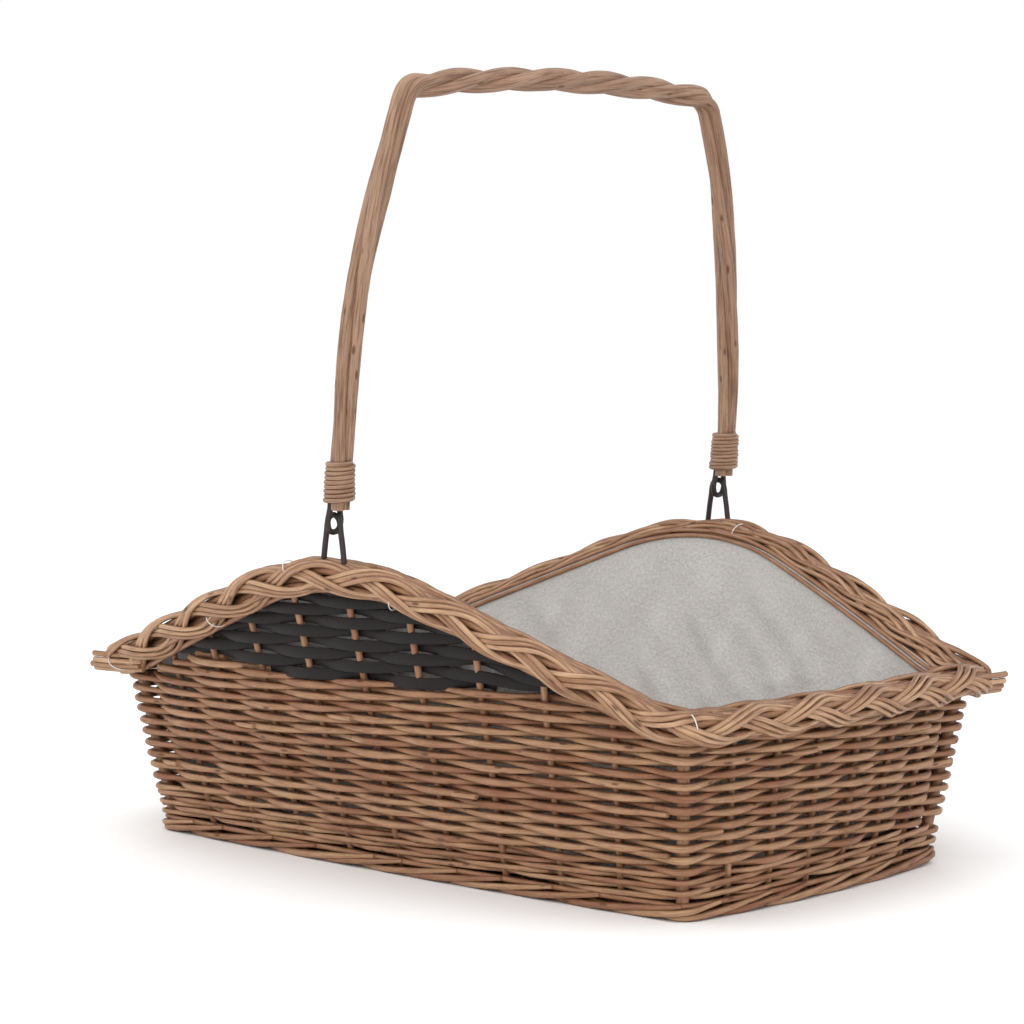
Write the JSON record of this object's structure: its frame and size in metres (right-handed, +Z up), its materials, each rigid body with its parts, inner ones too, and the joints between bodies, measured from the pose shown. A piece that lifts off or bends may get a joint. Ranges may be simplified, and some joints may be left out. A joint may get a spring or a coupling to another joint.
{
  "type": "wicker log basket",
  "caption": "Flared rectangular willow basket with an arched plaited rim, dark strip panels, a cloth lining and a swinging twisted handle for carrying logs.",
  "frame": {"origin": "on the floor, at the centre of the overall box", "axes": "+X along the basket's length, +Y across its width, +Z up"},
  "size_m": [0.615, 0.465, 0.58],
  "materials": {
    "wall_willow": "bark-stripped brown willow rods, satin, woven",
    "border_willow": "brown willow rods, satin, plaited",
    "foot_willow": "thick brown willow rods, satin, plaited",
    "base_willow": "brown willow sticks and rods, satin",
    "stake_willow": "brown willow stakes, satin",
    "dark_strip": "flat strips dyed near black, smooth and matt",
    "peeled_willow_handle": "thick willow rods, smooth satin",
    "split_willow_binding": "thin split willow skein, wound",
    "blackened_wire": "bent steel wire with a dark brown-black coat",
    "cotton_lining": "plain-weave natural cotton, slightly creased"
  },
  "bodies": {
    "basket": {"base_sticks": "base_willow", "base_weave": "base_willow", "border_back": "border_willow", "border_front": "border_willow", "border_left": "border_willow", "border_right": "border_willow", "corner_posts": "stake_willow", "dark_strips_back": "dark_strip", "dark_strips_front": "dark_strip", "foot_border_back": "foot_willow", "foot_border_front": "foot_willow", "foot_border_left": "foot_willow", "foot_border_right": "foot_willow", "lining_back": "cotton_lining", "lining_floor": "cotton_lining", "lining_front": "cotton_lining", "lining_left": "cotton_lining", "lining_right": "cotton_lining", "rim_loop_back": "blackened_wire", "rim_loop_front": "blackened_wire", "rod_weave_back": "wall_willow", "rod_weave_front": "wall_willow", "rod_weave_left": "wall_willow", "rod_weave_right": "wall_willow", "stakes_back": "stake_willow", "stakes_front": "stake_willow", "stakes_left": "stake_willow", "stakes_right": "stake_willow", "wale_back": "wall_willow", "wale_front": "wall_willow", "wale_left": "wall_willow", "wale_right": "wall_willow"},
    "handle": {"handle_binding_back": "split_willow_binding", "handle_binding_front": "split_willow_binding", "handle_loop_back": "blackened_wire", "handle_loop_front": "blackened_wire", "handle_rod_1": "peeled_willow_handle", "handle_rod_2": "peeled_willow_handle", "handle_rod_3": "peeled_willow_handle"}
  },
  "joints": [
    {"name": "handle_swing", "type": "hinge", "parent": "basket", "child": "handle", "pos_m": [0, 0, 0.25176], "axis": [0, 1, 0], "range_deg": [-94, 86]}
  ]
}
